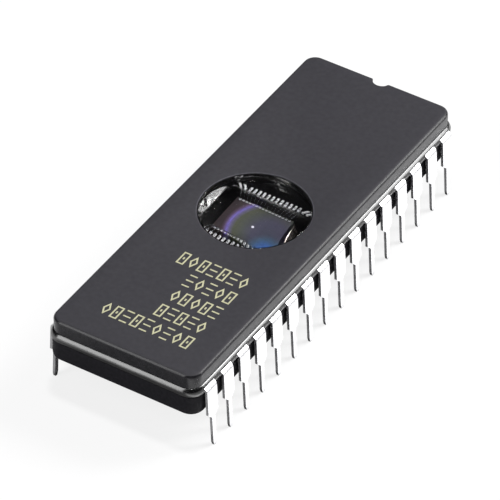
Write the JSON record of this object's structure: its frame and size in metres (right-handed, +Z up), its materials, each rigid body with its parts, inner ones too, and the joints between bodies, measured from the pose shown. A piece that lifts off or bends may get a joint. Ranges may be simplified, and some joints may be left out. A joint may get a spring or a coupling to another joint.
{
  "type": "windowed memory chip",
  "caption": "Ceramic dual in-line memory chip with two rows of leads, a round clear window over its die, and an index notch.",
  "frame": {"origin": "middle of the package's length and width, at the height of the lead tips", "axes": "+Y along the package to the notched end, +Z up out of the window, +X to the row of leads 17 to 32"},
  "size_m": [0.0162, 0.0422, 0.0082],
  "materials": {
    "base_ceramic": "matte",
    "lid_ceramic": "matte",
    "seal_glass": "glossy",
    "window_glass": "polished",
    "tinned_lead": "satin",
    "silicon": "polished",
    "die_bond": "satin",
    "bond_metal": "satin",
    "ink": "matte"
  },
  "bodies": {
    "root": {"ceramic_base": "base_ceramic", "base_seal_glass": "seal_glass", "lid_seal_glass": "seal_glass", "ceramic_lid": "lid_ceramic", "window_frit": "seal_glass", "uv_window": "window_glass", "die_attach": "die_bond", "die": "silicon", "bond_pads": "bond_metal", "bond_wires": "bond_metal", "marking_ink": "ink", "lead_01": "tinned_lead", "lead_02": "tinned_lead", "lead_03": "tinned_lead", "lead_04": "tinned_lead", "lead_05": "tinned_lead", "lead_06": "tinned_lead", "lead_07": "tinned_lead", "lead_08": "tinned_lead", "lead_09": "tinned_lead", "lead_10": "tinned_lead", "lead_11": "tinned_lead", "lead_12": "tinned_lead", "lead_13": "tinned_lead", "lead_14": "tinned_lead", "lead_15": "tinned_lead", "lead_16": "tinned_lead", "lead_17": "tinned_lead", "lead_18": "tinned_lead", "lead_19": "tinned_lead", "lead_20": "tinned_lead", "lead_21": "tinned_lead", "lead_22": "tinned_lead", "lead_23": "tinned_lead", "lead_24": "tinned_lead", "lead_25": "tinned_lead", "lead_26": "tinned_lead", "lead_27": "tinned_lead", "lead_28": "tinned_lead", "lead_29": "tinned_lead", "lead_30": "tinned_lead", "lead_31": "tinned_lead", "lead_32": "tinned_lead"}
  },
  "joints": []
}
